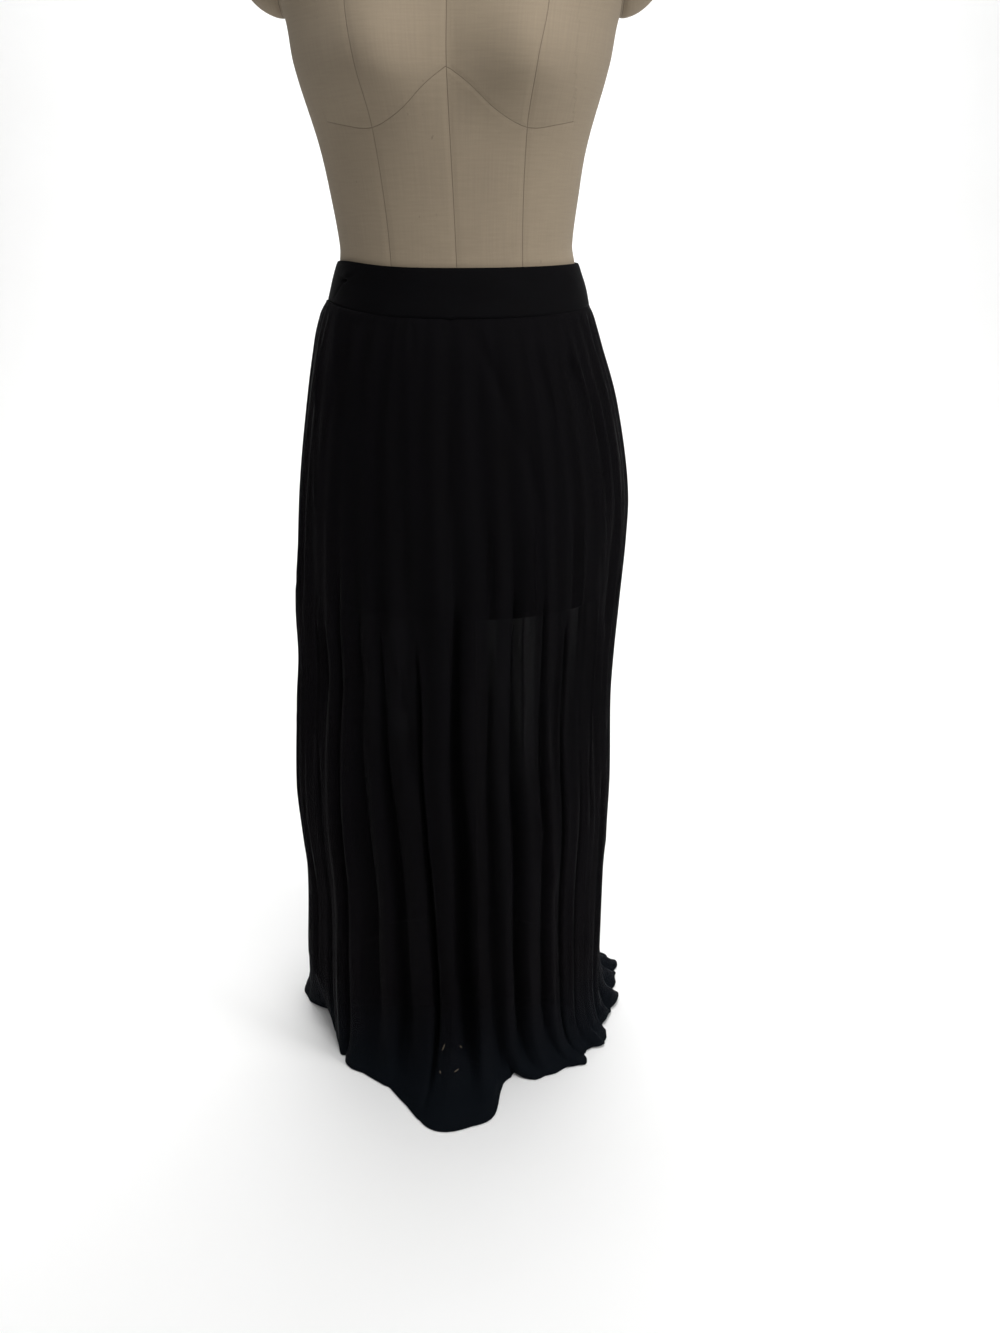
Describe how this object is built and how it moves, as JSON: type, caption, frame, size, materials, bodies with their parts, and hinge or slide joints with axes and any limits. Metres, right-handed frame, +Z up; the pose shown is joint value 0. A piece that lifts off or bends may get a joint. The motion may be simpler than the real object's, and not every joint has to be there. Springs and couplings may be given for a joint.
{
  "type": "chiffon maxi skirt on limbless dress form",
  "caption": "Floor-length pleated black chiffon skirt with a smooth waistband and short lining, worn by a limbless dress form on a pole and cross foot.",
  "frame": {"origin": "on the floor under the pole, at the middle of the cross foot's underside", "axes": "+Z up, the front of the skirt faces -Y, +X is the viewer's right when facing the front"},
  "size_m": [0.4314, 0.4794, 1.4393],
  "materials": {
    "chiffon": "matt crinkled polyester chiffon, slightly see-through",
    "band_crepe": "matt interfaced polyester crepe",
    "lining_satin": "smooth polyester lining with a soft sheen",
    "form_linen": "natural linen cover, matt",
    "stand_steel": "brushed",
    "neck_wood": "satin varnish",
    "zip_metal": "black enamel"
  },
  "bodies": {
    "dressed_form": {"form_torso": "form_linen", "form_arm_cap_left": "form_linen", "form_arm_cap_right": "form_linen", "form_neck_cap": "neck_wood", "stand_pole": "stand_steel", "stand_base": "stand_steel", "waistband_front": "band_crepe", "waistband_back_left": "band_crepe", "waistband_back_right": "band_crepe", "skirt_front": "chiffon", "skirt_back_left": "chiffon", "skirt_back_right": "chiffon", "lining_front": "lining_satin", "lining_back": "lining_satin", "zip_slider": "zip_metal"},
    "zip_tab": {"zip_pull": "zip_metal"}
  },
  "joints": [
    {"name": "zip_tab_hinge", "type": "hinge", "parent": "dressed_form", "child": "zip_tab", "pos_m": [0, 0.10141, 0.92524], "axis": [1, 0, 0], "range_deg": [0, 150]}
  ]
}
